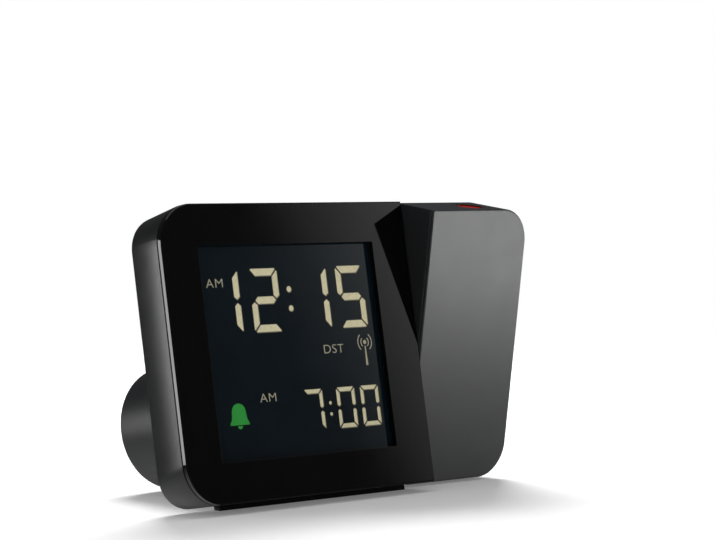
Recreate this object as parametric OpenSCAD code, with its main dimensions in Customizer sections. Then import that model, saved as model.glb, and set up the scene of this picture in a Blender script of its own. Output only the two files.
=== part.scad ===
// Projection alarm clock: a leaning display body on a foot strip and a rear drum,
// with a projector head that swivels about a tube in the body's right wall.
// Body pieces are drawn in the body's own frame: x to the right, d into the depth
// (0 = front face), u up the front face (0 = lower edge). Head pieces have x from
// the head's left face, n behind the swivel axis and u above the swivel axis.

/* [Body] */
// Width of the display body
body_w = 94.7; // [92:0.1:110]
// Height of the front face
body_h = 84; // [82:0.5:96]
// Room for components behind the circuit board
behind_board = 4; // [3.2:0.1:5]
// Radius of the two left corners
corner_r = 12; // [6:0.5:16]
// Lean of the front face from upright, in degrees
tilt = 10; // [6:0.5:14]
// Thickness of the front bezel
bezel_t = 1.5; // [1.2:0.1:2]
// Bevel round the bezel's front edge
bezel_bevel = 0.3; // [0.1:0.05:0.5]
// Shadow groove between bezel and case
parting_gap = 0.4; // [0.2:0.05:0.6]
// Wall thickness of the rear case
case_wall = 1.8; // [1.4:0.1:2.2]
// Rounding of the case's rear edge
case_edge_r = 1; // [0.5:0.1:1.5]
// How far the case's top falls towards the back
case_drop = 2; // [1:0.1:2.4]
// Radius of the two left corners at the case's back
back_corner_r = 9.8; // [6:0.1:16]

/* [Display] */
// Bezel left of the display window
window_left = 13; // [11:0.1:16]
// Bezel right of the display window
window_right = 14.1; // [12.5:0.1:18]
// Bezel above the display window
window_top = 12; // [10.5:0.1:16]
// Bezel below the display window
window_low = 11.4; // [10:0.1:16]
// Depth of the display glass behind the front face
display_recess = 1.9; // [1.7:0.1:2.4]
// Thickness of the display glass
display_t = 2.2; // [1.8:0.1:2.4]
// Border of glass hidden behind the bezel
display_border = 2; // [1:0.1:2.5]
// Thickness of the light guide behind the glass
backlight_t = 2; // [1.4:0.1:2.2]
// Thickness of the circuit board
board_t = 1; // [0.8:0.1:1.2]

/* [Projector head] */
// Width of the projector head
head_w = 41.5; // [39:0.1:48]
// Head's top below the body's top when the two stand in line
head_step = 0.7; // [0:0.1:2]
// Swivel axis ahead of the head's rear face
head_back = 10; // [9.5:0.1:11]
// Radius of the two right corners
head_corner_r = 10.5; // [6:0.5:14]
// Running gap between body and head
head_gap = 0.3; // [0.2:0.05:0.6]
// Swing of the head ahead of the body's front face, in degrees
head_swing = 17.5; // [0:0.5:30]
// Height of the swivel axis up the front face
pivot_u = 39.1; // [39:0.1:42]
// Depth of the swivel axis behind the front face
pivot_d = 7; // [6.8:0.1:7.4]
// Radius of the hollow swivel tube
pivot_r = 3; // [2.6:0.1:3.1]
// Wall thickness of the head
head_wall = 1.8; // [1.4:0.1:2.2]
// Thickness of the head's front cover
cover_t = 1; // [0.8:0.1:1.4]

/* [Projector] */
// Lens axis right of the head's left face
lens_x = 22.5; // [20:0.1:24]
// Radius of the clear window in the head's top
lens_window_r = 3.5; // [3:0.1:4.2]
// Radius of the lens barrel
barrel_r = 4.6; // [4.4:0.1:4.7]
// Number of teeth on the focus pinion
pinion_teeth = 9; // [8:1:12]
// Pitch radius of the focus pinion
pinion_r = 3; // [2.8:0.1:3.1]
// Radius of the focus wheel
focus_r = 6; // [5:0.1:6.4]
// How far the focus wheel stands out of the head
focus_proud = 1.4; // [1:0.1:1.8]
// Number of finger notches in the focus wheel
focus_notches = 24; // [16:1:30]

/* [Rear drum] */
// Drum axis right of the body's left face
drum_x = 42.2; // [40:0.1:46]
// Wall of the cradle outside the cells
cradle_wall = 3; // [2.4:0.1:4]
// Wall thickness of the drum
drum_wall = 1.8; // [1.6:0.1:2]
// Radius of one battery cell
cell_r = 5.2; // [5.1:0.05:5.3]
// Length of one battery cell
cell_len = 44.5; // [43.5:0.1:44.5]

/* [Feet] */
// Left end of the front foot strip
foot_x = 18.8; // [14:0.1:24]
// Body beyond the right end of the foot strip
foot_end = 2.9; // [2:0.1:12]
// Case bottom left free behind the foot strip
foot_edge = 0.9; // [0.2:0.1:1]
// Width of the foot strip
foot_w = 2.4; // [2:0.1:2.6]
// Foot strip below the body's lower edge
foot_drop = 1.5; // [1.4:0.1:2.4]
// Width of the rear foot pad
pad_w = 10; // [8:0.5:14]
// Depth of the rear foot pad
pad_d = 6; // [4:0.5:9]
// Least thickness of the rear foot pad
pad_t = 0.4; // [0.3:0.05:1]

/* [Controls] */
// Length of the snooze bar
snooze_len = 50; // [40:1:60]
// Width of the snooze bar
snooze_w = 5.2; // [4:0.1:5.4]
// Snooze bar above the case's top
snooze_proud = 0.5; // [0.4:0.05:0.6]
// Radius of a set button
button_r = 3; // [2.5:0.1:3.4]
// Set buttons behind the case's rear face
button_proud = 0.8; // [0.6:0.1:1]
// Distance between the set buttons
button_pitch = 11; // [9:0.5:11.5]
// Column of the set buttons left of the body's right face
button_in = 20.7; // [19:0.1:24]
// Radius of the hole in the power inlet
jack_hole_r = 1.75; // [1.2:0.05:2]

/* [Hidden] */

$fn = 64;
eps = 0.01;
fit = 0.1;              // gap between pieces that stay together
slide_gap = 0.2;        // gap round a piece that slides
bore_gap = 0.05;        // radial clearance of a turning shaft
press_gap = 0.02;       // radial clearance of a pressed piece

// the stack from the bezel's front to the case's back
case_front = bezel_t + parting_gap;
glass_back = display_recess + display_t;
guide_d = glass_back + fit;
guide_back = guide_d + backlight_t;
board_gap = 0.6;
board_d = guide_back + board_gap;
board_back = board_d + board_t;
case_inside = board_back + behind_board;
case_depth = case_inside + case_wall;

// the window in the bezel
window_x = window_left;
window_u = window_low;
window_w = body_w - window_left - window_right;
window_h = body_h - window_low - window_top;

// the drum grows round the cells and behind them
neck_floor = 1.7;
neck_wall = 1.4;
neck_step = 2.2;
cell_gap = 0.3;
cell_x = cell_r + 0.6;
contact_t = 0.3;
spring_t = 0.9;
cradle_floor = 1;
cap_t = 2;
cell_end = 0.2;
cradle_d = board_d + neck_floor + fit;
cell_d = cradle_d + cradle_floor + contact_t + spring_t;
cap_seat = cell_d + cell_len + cell_end;
drum_back = cap_seat + cap_t;
neck_bore_r = cell_x + cell_r + cell_gap + cradle_wall + fit;
neck_r = neck_bore_r + neck_wall;
drum_r = neck_r + neck_step;

// the stance: front foot strip and rear pad stand on one plane
foot_d = case_depth - foot_w - foot_edge;
foot_len = body_w - foot_x - foot_end;
floor_h = foot_drop * cos(tilt) + foot_d * sin(tilt);
drum_u = drum_r + (drum_back * sin(tilt) - floor_h + pad_t) / cos(tilt);

// the head stands in line with the body at a swing of 0
head_front = pivot_d;
head_down = pivot_u;
head_up = body_h - pivot_u - head_step;
head_x = body_w + head_gap;

total_w = head_x + head_w + focus_proud;
back_y = (drum_u + drum_r) * sin(tilt) + drum_back * cos(tilt);
front_y = bezel_bevel * sin(tilt);

// places a piece drawn in the body's frame on the table
module in_body() {
    translate([-total_w / 2, -(front_y + back_y) / 2, floor_h])
        rotate([-tilt, 0, 0])
            children();
}

// places a piece drawn about the swivel axis
module in_head() {
    in_body()
        translate([head_x, pivot_d, pivot_u])
            rotate([head_swing, 0, 0])
                children();
}

// extrudes an x-u outline from depth d0 to depth d1
module slab(d0, d1) {
    translate([0, d1, 0])
        rotate([90, 0, 0])
            linear_extrude(d1 - d0)
                children();
}

// rods along the depth, the width and the height
module rod_d(x, u, d0, d1, r) {
    translate([x, d0, u])
        rotate([-90, 0, 0])
            cylinder(h = d1 - d0, r = r);
}
module rod_x(d, u, x0, x1, r) {
    translate([x0, d, u])
        rotate([0, 90, 0])
            cylinder(h = x1 - x0, r = r);
}
module rod_u(x, d, u0, u1, r) {
    translate([x, d, u0])
        cylinder(h = u1 - u0, r = r);
}

// a block between two corners
module block(low, high) {
    translate(low)
        cube(high - low);
}

// a rectangle from (x0, u0) to (x1, u1) with its two left corners rounded
module left_round(x0, u0, x1, u1, r) {
    translate([x0 + r, u0])
        square([x1 - x0 - r, u1 - u0]);
    translate([x0, u0 + r])
        square([r + eps, u1 - u0 - 2 * r]);
    for (u = [u0 + r, u1 - r])
        translate([x0 + r, u])
            circle(r);
}

// the snooze bar's outline between two heights, grown by a margin
module bar_u(u0, u1, grow = 0) {
    translate([snooze_x, snooze_d, u0])
        linear_extrude(u1 - u0)
            slot_2d(snooze_len + 2 * grow, snooze_w / 2 + grow);
}

module slot_2d(length, r) {
    translate([-length / 2 + r, -r])
        square([length - 2 * r, 2 * r]);
    for (side = [-1, 1])
        translate([side * (length / 2 - r), 0])
            circle(r);
}

module body_outline(inset = 0) {
    case_outline(body_h, corner_r, inset);
}

// the body's outline under another top and with other left corners
module case_outline(top, r, inset) {
    left_round(inset, inset, body_w - inset, top - inset, max(r - inset, 1));
}

// how far along the case's taper a depth lies
function taper(d) = (d - case_front) / (case_depth - case_edge_r - case_front);
function case_top(d) = body_h - case_drop * taper(d);
function case_corner(d) = corner_r + (back_corner_r - corner_r) * taper(d);

// the case's outline at one depth; its top falls towards the back
module case_slice(d, inset = 0) {
    slab(d, d + eps)
        case_outline(case_top(d), case_corner(d), inset);
}

// everything below the case's top, raised by a margin
module below_top(up) {
    hull()
        for (d = [case_front, case_depth])
            block([0, d, 0], [body_w, d + eps, case_top(d) + up]);
}

module head_outline(inset = 0) {
    translate([head_w, 0])
        mirror([1, 0])
            left_round(inset, -head_down + inset, head_w - inset, head_up - inset,
                       max(head_corner_r - inset, 1));
}

// ---------------------------------------------------------------- body housing

screw_inset = 6;
screw_r = 1.2;
screw_head_r = 2.3;
screw_head_t = 1.2;
screw_gap = 0.3;
recess = [2.6, 1.2, 0.6];   // one bar of a screw's cross recess
boss_r = 2.6;
boss_gap = 0.3;
screw_places = [[screw_inset, corner_r - 1], [screw_inset, body_h - corner_r + 1],
                [body_w - screw_inset, screw_inset], [body_w - screw_inset, body_h - case_drop - screw_inset]];
skirt_t = 1.2;
skirt_d = 3;
skirt_top = case_top(bezel_t + skirt_d);
skirt_r = max(corner_r, case_corner(bezel_t + skirt_d));

module front_bezel() {
    color("#0d0e10")
        in_body()
            difference() {
                union() {
                    hull() {
                        slab(bezel_bevel, bezel_t) body_outline();
                        slab(0, eps) body_outline(bezel_bevel);
                    }
                    slab(bezel_t - eps, bezel_t + skirt_d)
                        difference() {
                            case_outline(skirt_top, skirt_r, case_wall + fit);
                            case_outline(skirt_top, skirt_r, case_wall + fit + skirt_t);
                        }
                    for (place = screw_places)
                        rod_d(place[0], place[1], bezel_t - eps, case_inside - boss_gap, boss_r);
                }
                slab(-1, bezel_t + 1)
                    translate([window_x, window_u])
                        square([window_w, window_h]);
                for (place = screw_places)
                    rod_d(place[0], place[1], bezel_t + 1, case_depth, screw_r + fit);
                // clearance for the swivel tube and its washers
                block([body_w - case_wall - skirt_t - 1, bezel_t, pivot_u - bush_r - 2],
                      [body_w + 1, case_depth, pivot_u + bush_r + 2]);
            }
}

bush_r = 3.9;
bush_len = 4;
bush_wall = 1.4;
washer_t = 0.8;
clip_t = 0.8;
tube_in = bush_len + washer_t + clip_t + 1.6;
snooze_x = body_w / 2;
lever_in = 6.4;
snooze_switch_x = snooze_x + snooze_len / 2 - lever_in;
snooze_in = 3.7;
snooze_d = case_inside - snooze_in;
button_x = body_w - button_in;
button_u0 = 14;
switch_drop = 20;
switch_u = body_h - switch_drop;
switch_travel = 3;
switch_slot = 10;
switch_slot_r = 1.6;
jack_x = 14;
jack_u = 14;
jack_nose_r = 3.6;
jack_w = 9;
jack_floor = 0.6;
grille_x = 24;
grille_drop = 24;
grille_u = body_h - grille_drop;
sounder_r = 10;
disc_t = 0.4;
grille_slots = 5;
grille_pitch = 3;
grille_w = 16;
grille_slot_r = 0.7;

module rear_case() {
    color("#333437")
        in_body()
            difference() {
                union() {
                    difference() {
                        hull() {
                            case_slice(case_front);
                            // the rounded rear edge
                            for (turn = [0:30:90])
                                translate([0, case_edge_r * sin(turn) - eps, 0])
                                    case_slice(case_depth - case_edge_r, case_edge_r * (1 - cos(turn)));
                        }
                        hull() {
                            case_slice(case_front - 1, case_wall);
                            case_slice(case_inside - eps, case_wall);
                        }
                    }
                    // boss that carries the swivel bush
                    intersection() {
                        rod_x(pivot_d, pivot_u, body_w - bush_len, body_w - eps, bush_r + bush_wall);
                        block([0, case_front, 0], [body_w, case_depth - eps, body_h]);
                    }
                }
                rod_x(pivot_d, pivot_u, body_w - bush_len - 1, body_w + 1, bush_r);
                // pocket for the washers beside the bush
                rod_x(pivot_d, pivot_u, body_w - tube_in - 1, body_w - bush_len, bush_r + 0.4);
                // snooze bar's slot in the top wall
                bar_u(body_h - case_drop - case_wall - 1, body_h + 1, slide_gap);
                // set buttons, slide switch, power inlet and drum in the back wall
                for (place = [0:3])
                    rod_d(button_x, button_u0 + place * button_pitch, case_inside - 1,
                          case_depth + 1, button_r + slide_gap);
                slab(case_inside - 1, case_depth + 1)
                    translate([button_x, switch_u])
                        slot_2d(switch_slot, switch_slot_r);
                rod_d(jack_x, jack_u, case_inside - 1, case_depth + 1, jack_nose_r + fit);
                rod_d(drum_x, drum_u, case_inside - 1, case_depth + 1, neck_r + fit);
                // sound slots
                for (row = [0:grille_slots - 1])
                    slab(case_inside - 1, case_depth + 1)
                        translate([grille_x, grille_u + (row - (grille_slots - 1) / 2) * grille_pitch])
                            slot_2d(grille_w - 2 * abs(row - (grille_slots - 1) / 2), grille_slot_r);
                // screws and their sunk heads
                for (place = screw_places) {
                    rod_d(place[0], place[1], case_inside - 1, case_depth + 1, screw_r + screw_gap);
                    rod_d(place[0], place[1], case_depth - screw_head_t, case_depth + 1,
                          screw_head_r + screw_gap);
                }
            }
}

module case_screws() {
    color("silver")
        in_body()
            for (place = screw_places)
                difference() {
                    union() {
                        rod_d(place[0], place[1], case_depth - screw_head_t + eps, case_depth - 0.1,
                              screw_head_r);
                        rod_d(place[0], place[1], bezel_t + 2.5, case_depth - screw_head_t + 2 * eps,
                              screw_r);
                    }
                    for (turn = [0, 90])
                        translate([place[0], case_depth - 0.1, place[1]])
                            rotate([0, turn, 0])
                                cube(recess, center = true);
                }
}

module floor_side(above) {
    translate([-total_w, -total_w, above ? -2 * total_w : 0])
        cube(2 * total_w);
}

module front_foot() {
    color("#1a1a1a")
        difference() {
            in_body()
                block([foot_x, foot_d, -foot_drop - 1], [foot_x + foot_len, foot_d + foot_w, 0]);
            floor_side(true);
        }
}

// ---------------------------------------------------------------- display

holder_t = 1.4;
holder_gap = 0.2;
glass_x0 = window_x - display_border;
glass_u0 = window_u - display_border;
glass_w = window_w + 2 * display_border;
glass_h = window_h + 2 * display_border;
glass_ledge = 4;        // lower border of the glass with its contacts
ledge_t = 0.8;

module display_glass() {
    color("#16202a")
        in_body() {
            block([glass_x0, display_recess, glass_u0],
                  [glass_x0 + glass_w, display_recess + display_t / 2, glass_u0 + glass_h]);
            block([glass_x0, display_recess + display_t / 2, glass_u0 - glass_ledge + ledge_t + holder_gap],
                  [glass_x0 + glass_w, glass_back, glass_u0 + glass_h]);
        }
}

module light_guide() {
    color("#e8efe6")
        in_body()
            block([glass_x0 + 1, guide_d, glass_u0 + 1],
                  [glass_x0 + glass_w - 1, guide_back, glass_u0 + glass_h - 1]);
}

module display_holder() {
    color("#202124")
        in_body()
            difference() {
                block([glass_x0 - holder_gap - holder_t, bezel_t, glass_u0 - glass_ledge],
                      [glass_x0 + glass_w + holder_gap + holder_t, board_d,
                       glass_u0 + glass_h + holder_gap + holder_t]);
                // the glass drops in from behind against a rim
                block([window_x - holder_gap, bezel_t - 1, window_u - holder_gap],
                      [window_x + window_w + holder_gap, display_recess + 1, window_u + window_h + holder_gap]);
                block([glass_x0 - holder_gap, display_recess, glass_u0 - glass_ledge + ledge_t],
                      [glass_x0 + glass_w + holder_gap, board_d + 1, glass_u0 + glass_h + holder_gap]);
                for (place = screw_places)
                    rod_d(place[0], place[1], 0, case_depth, boss_r + boss_gap);
            }
}

// ---------------------------------------------------------------- electronics

board_x0 = 4.6;
board_end = 13.2;
board_x1 = body_w - board_end;
board_u0 = 6;
board_top = 9;
board_u1 = body_h - board_top;
capacitor_r = 1.8;
capacitor_h = 2.2;
capacitor_places = [[button_x - 10, board_u1 - 21], [snooze_switch_x - 8, board_u1 - 2.5],
                    [snooze_x - 2, board_u1 - 13]];
processor_at = [snooze_switch_x - 12, board_u1 - 16];
processor_w = 8;
receiver_at = [12, 32];
receiver_w = 6;
chip_t = 1.2;
switch_t = 1.3;
plunger_t = 0.5;
key_travel = 0.7;
plunger_r = 0.8;
switch_w = 6;

module main_board() {
    color("#1f5a34")
        in_body()
            difference() {
                union() {
                    slab(board_d, board_back)
                        left_round(board_x0, board_u0, board_x1, board_u1, 5);
                    // processor, radio receiver and capacitors
                    block([processor_at[0], board_back - eps, processor_at[1]],
                          [processor_at[0] + processor_w, board_back + chip_t, processor_at[1] + processor_w]);
                    block([receiver_at[0], board_back - eps, receiver_at[1]],
                          [receiver_at[0] + receiver_w, board_back + chip_t, receiver_at[1] + receiver_w]);
                    for (place = capacitor_places)
                        rod_d(place[0], place[1], board_back - eps, board_back + capacitor_h, capacitor_r);
                }
                rod_d(drum_x, drum_u, board_d - 1, board_back + 1, neck_r + 0.4);
                for (place = [0:1])
                    rod_d(screw_places[place][0], screw_places[place][1], board_d - 1, board_back + 1,
                          boss_r + boss_gap);
            }
}

// a square key switch whose foot is at depth d
module tact_switch(x, u, d) {
    block([x - switch_w / 2, d, u - switch_w / 2], [x + switch_w / 2, d + switch_t, u + switch_w / 2]);
    rod_d(x, u, d + switch_t - eps, d + switch_t + plunger_t, 1.6);
}

module key_switches() {
    color("#c9c9c9")
        in_body()
            for (place = [0:3])
                tact_switch(button_x, button_u0 + place * button_pitch, board_back);
}

lever_switch = [6, 2, 4];      // body of the snooze switch
snooze_travel = 0.8;
snooze_flange = 1;
snooze_low = case_top(snooze_d + snooze_w / 2) - case_wall - slide_gap - snooze_flange;

module snooze_switch() {
    color("#c9c9c9")
        in_body() {
            block([snooze_switch_x - lever_switch[0] / 2, board_back, board_u1 - lever_switch[2]],
                  [snooze_switch_x + lever_switch[0] / 2, board_back + lever_switch[1], board_u1]);
            rod_u(snooze_switch_x, board_back + lever_switch[1] / 2, board_u1 - eps,
                  snooze_low - snooze_travel - fit, plunger_r);
        }
}

// the aerial lies on the case's bottom, behind the board
rod_r = 1.6;
rod_core_r = 1.2;
rod_len = 40;
rod_x0 = 20;
rod_d0 = case_inside - rod_r - 0.3;
rod_u0 = case_wall + slide_gap + rod_r;
coil_len = 10;
coil_in = 4;

module antenna_rod() {
    color("#5a3a22")
        in_body() {
            rod_x(rod_d0, rod_u0, rod_x0, rod_x0 + rod_len, rod_core_r);
            for (coil = [coil_in, rod_len - coil_in - coil_len])
                rod_x(rod_d0, rod_u0, rod_x0 + coil, rod_x0 + coil + coil_len, rod_r);
        }
}

module sounder() {
    color("#b08d3c")
        in_body() {
            rod_d(grille_x, grille_u, case_inside - fit - disc_t, case_inside - fit, sounder_r);
            difference() {
                rod_d(grille_x, grille_u, board_back, case_inside - fit, sounder_r + 1.2);
                rod_d(grille_x, grille_u, board_back - 1, case_inside + 1, sounder_r);
            }
        }
}

module power_inlet() {
    color("#151515")
        in_body()
            difference() {
                union() {
                    block([jack_x - jack_w / 2, board_back, jack_u - jack_w / 2],
                          [jack_x + jack_w / 2, case_inside - fit, jack_u + jack_w / 2]);
                    rod_d(jack_x, jack_u, board_back, case_depth, jack_nose_r);
                }
                rod_d(jack_x, jack_u, board_back + jack_floor, case_depth + 1, jack_hole_r);
            }
}

// ---------------------------------------------------------------- controls

module snooze_bar() {
    color("#26272a")
        in_body() {
            intersection() {
                bar_u(snooze_low + eps, body_h + snooze_proud);
                below_top(snooze_proud);
            }
            // the flange stays under the case's wall
            intersection() {
                block([snooze_x - snooze_len / 2 - flange_r, snooze_d - snooze_w / 2, snooze_low],
                      [snooze_x + snooze_len / 2 + flange_r, snooze_d + snooze_w / 2, body_h]);
                below_top(-case_wall - slide_gap);
            }
        }
}

button_flange = 0.5;
flange_r = 0.8;         // flange beyond a button's rim
dish_r = 10;
dish_deep = 0.4;
knob_gap = 0.3;
plate_w = 10;
plate_h = 4.8;
knob_proud = 0.9;

module set_key(place) {
    color("#26272a")
        in_body()
            difference() {
                union() {
                    rod_d(button_x, button_u0 + place * button_pitch, case_inside - fit - eps,
                          case_depth + button_proud, button_r);
                    rod_d(button_x, button_u0 + place * button_pitch, case_inside - fit - button_flange,
                          case_inside - fit, button_r + flange_r);
                }
                // dished finger face
                translate([button_x, case_depth + button_proud + dish_r - dish_deep,
                           button_u0 + place * button_pitch])
                    sphere(r = dish_r);
            }
}

module alarm_switch() {
    color("#26272a")
        in_body() {
            slab(case_inside - fit - eps, case_depth + knob_proud)
                translate([button_x - switch_travel / 2, switch_u])
                    slot_2d(switch_slot - switch_travel - 2 * knob_gap, switch_slot_r - knob_gap);
            block([button_x - switch_travel / 2 - plate_w / 2, case_inside - 1, switch_u - plate_h / 2],
                  [button_x - switch_travel / 2 + plate_w / 2, case_inside - fit, switch_u + plate_h / 2]);
        }
}

// ---------------------------------------------------------------- rear drum

drum_bore_r = drum_r - drum_wall;
drum_edge = 0.6;
shoulder_t = 1.6;
ring_t = 0.8;
ring_seat = 0.6;
cap_turn = 45;          // turn that brings the lugs to their ways out
lug_t = 1.2;
lug_d = cap_seat - lug_t / 2;
lug_w = 6;
lug_r = drum_bore_r + 0.8;

// two lugs across the drum axis, turned by an angle
module lugs(d0, d1, r, w, turn) {
    intersection() {
        rod_d(drum_x, drum_u, d0, d1, r);
        translate([drum_x, d0, drum_u])
            rotate([0, turn, 0])
                translate([-2 * r, 0, -w / 2])
                    cube([4 * r, d1 - d0, w]);
    }
}

module drum_housing() {
    color("#2c2d30")
        in_body()
            difference() {
                // outer shape, with its broken rear edge, in one revolve
                translate([drum_x, 0, drum_u])
                    rotate([-90, 0, 0])
                        rotate_extrude()
                            polygon([[0, board_d], [neck_r, board_d], [neck_r, case_depth],
                                     [drum_r, case_depth], [drum_r, drum_back - drum_edge],
                                     [drum_r - drum_edge, drum_back], [0, drum_back]]);
                rod_d(drum_x, drum_u, case_depth + shoulder_t, drum_back + 1, drum_bore_r);
                rod_d(drum_x, drum_u, board_d + neck_floor, case_depth + shoulder_t + 1, neck_bore_r);
                // bayonet: a groove for the cap's lugs and the two ways into it
                rod_d(drum_x, drum_u, lug_d - slide_gap, lug_d + lug_t + slide_gap, lug_r + slide_gap);
                lugs(lug_d, drum_back + 1, lug_r + slide_gap, lug_w + 2 * slide_gap, cap_turn);
                // groove that takes the lock ring
                difference() {
                    rod_d(drum_x, drum_u, case_inside - ring_t - fit, case_inside, neck_r + 1);
                    rod_d(drum_x, drum_u, case_inside - ring_t - 1, case_inside + 1, neck_r - ring_seat);
                }
            }
}

module drum_lock_ring() {
    color("#8c8f94")
        in_body()
            difference() {
                rod_d(drum_x, drum_u, case_inside - ring_t, case_inside - eps, neck_r + 2);
                rod_d(drum_x, drum_u, case_inside - ring_t - 1, case_inside + 1, neck_r - ring_seat + fit);
                block([drum_x - 2, case_inside - ring_t - 1, drum_u],
                      [drum_x + 2, case_inside + 1, drum_u + neck_r + 3]);
            }
}

cradle_top = cell_d + cell_len - 6;
cradle_cut = 6;
pole_r = 1.9;
pole_h = 1;

module cell_cradle() {
    color("#3a3b3e")
        in_body()
            difference() {
                rod_d(drum_x, drum_u, cradle_d, cradle_top, neck_bore_r - fit);
                for (side = [-1, 1])
                    rod_d(drum_x + side * cell_x, drum_u, cradle_d + cradle_floor, drum_back,
                          cell_r + cell_gap);
                // the cradle is cut away over the cells
                for (u = [drum_u + 3, drum_u - 3 - drum_r])
                    block([drum_x - drum_r, cell_d + cradle_cut, u],
                          [drum_x + drum_r, cradle_top - cradle_cut, u + drum_r]);
            }
}

module battery_cells() {
    color("#3d6fa5")
        in_body() {
            rod_d(drum_x - cell_x, drum_u, cell_d + pole_h, cell_d + cell_len, cell_r);
            rod_d(drum_x - cell_x, drum_u, cell_d, cell_d + pole_h + eps, pole_r);
            rod_d(drum_x + cell_x, drum_u, cell_d, cell_d + cell_len - pole_h, cell_r);
            rod_d(drum_x + cell_x, drum_u, cell_d + cell_len - pole_h - eps, cell_d + cell_len, pole_r);
        }
}

module battery_contacts() {
    color("silver")
        in_body()
            for (side = [-1, 1]) {
                rod_d(drum_x + side * cell_x, drum_u, cradle_d + cradle_floor,
                      cradle_d + cradle_floor + contact_t, cell_r - 0.6);
                rod_d(drum_x + side * cell_x, drum_u, cradle_d + cradle_floor + contact_t - eps, cell_d,
                      pole_r - 0.3);
            }
}

cap_r = drum_bore_r - slide_gap;
cap_ring = 4;
coin_slot = 16;
coin_r = 1.1;
coin_d = 1.2;

module battery_cap() {
    color("#2c2d30")
        in_body()
            difference() {
                union() {
                    rod_d(drum_x, drum_u, cap_seat, drum_back - slide_gap, cap_r);
                    // inner ring that carries the lugs
                    difference() {
                        rod_d(drum_x, drum_u, cap_seat - cap_ring, cap_seat + eps, neck_bore_r);
                        rod_d(drum_x, drum_u, cap_seat - cap_ring - 1, cap_seat, neck_bore_r - neck_wall);
                    }
                    // bayonet lugs
                    difference() {
                        lugs(lug_d, lug_d + lug_t, lug_r, lug_w, 0);
                        rod_d(drum_x, drum_u, lug_d - 1, cap_seat, neck_bore_r - 0.5);
                    }
                }
                // coin slot
                slab(drum_back - slide_gap - coin_d, drum_back + 1)
                    translate([drum_x, drum_u])
                        slot_2d(coin_slot, coin_r);
            }
}

module rear_foot() {
    color("#1a1a1a")
        difference() {
            in_body()
                difference() {
                    block([drum_x - pad_w / 2, drum_back - pad_d - drum_edge, 0],
                          [drum_x + pad_w / 2, drum_back - drum_edge, drum_u]);
                    rod_d(drum_x, drum_u, case_depth, drum_back + 1, drum_r + eps);
                }
            floor_side(true);
        }
}

// ---------------------------------------------------------------- swivel

module pivot_bush() {
    color("#e9e6dc")
        in_body()
            difference() {
                rod_x(pivot_d, pivot_u, body_w - bush_len, body_w, bush_r - press_gap);
                rod_x(pivot_d, pivot_u, body_w - bush_len - 1, body_w + 1, pivot_r + bore_gap);
            }
}

module spring_washer() {
    color("silver")
        in_body()
            difference() {
                rod_x(pivot_d, pivot_u, body_w - bush_len - washer_t, body_w - bush_len - eps, bush_r);
                rod_x(pivot_d, pivot_u, body_w - bush_len - 2, body_w, pivot_r + 0.1);
            }
}

clip_r = 3.7;
tube_flange_r = 5.5;
tube_flange_t = 1.4;
tube_bore_r = 1.8;

module pivot_tube() {
    color("#b9bcc0")
        in_head()
            difference() {
                union() {
                    rod_x(0, 0, -head_gap - tube_in, head_wall + eps, pivot_r);
                    rod_x(0, 0, head_wall, head_wall + tube_flange_t, tube_flange_r);
                }
                rod_x(0, 0, -head_gap - tube_in - 1, head_wall + tube_flange_t + 1, tube_bore_r);
                // groove for the retaining clip
                difference() {
                    rod_x(0, 0, clip_x, clip_x + clip_t, pivot_r + 1);
                    rod_x(0, 0, clip_x - 1, clip_x + clip_t + 1, pivot_r - 0.5);
                }
            }
}

clip_x = -head_gap - bush_len - washer_t - 0.1 - clip_t;

module retaining_clip() {
    color("#b9bcc0")
        in_head()
            difference() {
                rod_x(0, 0, clip_x + 0.05, clip_x + clip_t - 0.05, clip_r);
                rod_x(0, 0, clip_x - 1, clip_x + clip_t + 1, pivot_r - 0.45);
                block([clip_x - 1, -1.2, 0], [clip_x + clip_t + 1, 1.2, clip_r + 1]);
            }
}

// ---------------------------------------------------------------- projector head

head_screw_places = [[6, -head_down + 8], [head_w - 8, -head_down + 8], [6, head_up - 8],
                     [head_w - 8, head_up - 8]];
head_screw_r = 1;
head_screw_top = 2;
head_recess = [2.2, 1, 0.5];
head_boss_r = 2.2;
pillar_r = 1.5;
flip_board = 10;
shell_n = -head_front + cover_t;
head_bevel = 0.3;
head_seam = 0.15;
head_edge = 1.5;
shell_back = head_back - head_wall;
shaft_r = 1.4;
wheel_seat = 0.8;
notch_r = 0.5;
flip_x = 22;
flip_rise = 25.1;
flip_u = flip_rise - head_down;
flip_n = shell_back - fit - flange_r - switch_t - plunger_t - key_travel;
ring_r = 5.2;
ring_flange = 0.6;
lip_d = 2;
lip_t = 1;

module head_cover() {
    color("#4a4b4e")
        in_head()
            difference() {
                union() {
                    hull() {
                        slab(-head_front + head_bevel, shell_n) head_outline();
                        slab(-head_front, -head_front + eps) head_outline(head_bevel);
                    }
                    slab(shell_n - eps, shell_n + lip_d)
                        difference() {
                            head_outline(head_wall + fit);
                            head_outline(head_wall + fit + lip_t);
                            // the lip leaves room for the tube's flange and the lens ring
                            translate([0, -tube_flange_r - 1])
                                square([head_wall + 4, 2 * tube_flange_r + 2]);
                            translate([lens_x - ring_r - 2, head_up - head_wall - 4])
                                square([2 * ring_r + 4, 4]);
                        }
                    for (place = head_screw_places)
                        rod_d(place[0], place[1], shell_n - eps, shell_back - boss_gap, head_boss_r);
                    // pillars for the flip switch's board
                    for (side = [-1, 1])
                        rod_d(flip_x + side * 3, flip_u, shell_n - eps, flip_n - board_t, pillar_r);
                }
                for (place = head_screw_places)
                    rod_d(place[0], place[1], shell_n + 1, head_back, head_screw_r + fit);
            }
}

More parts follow.
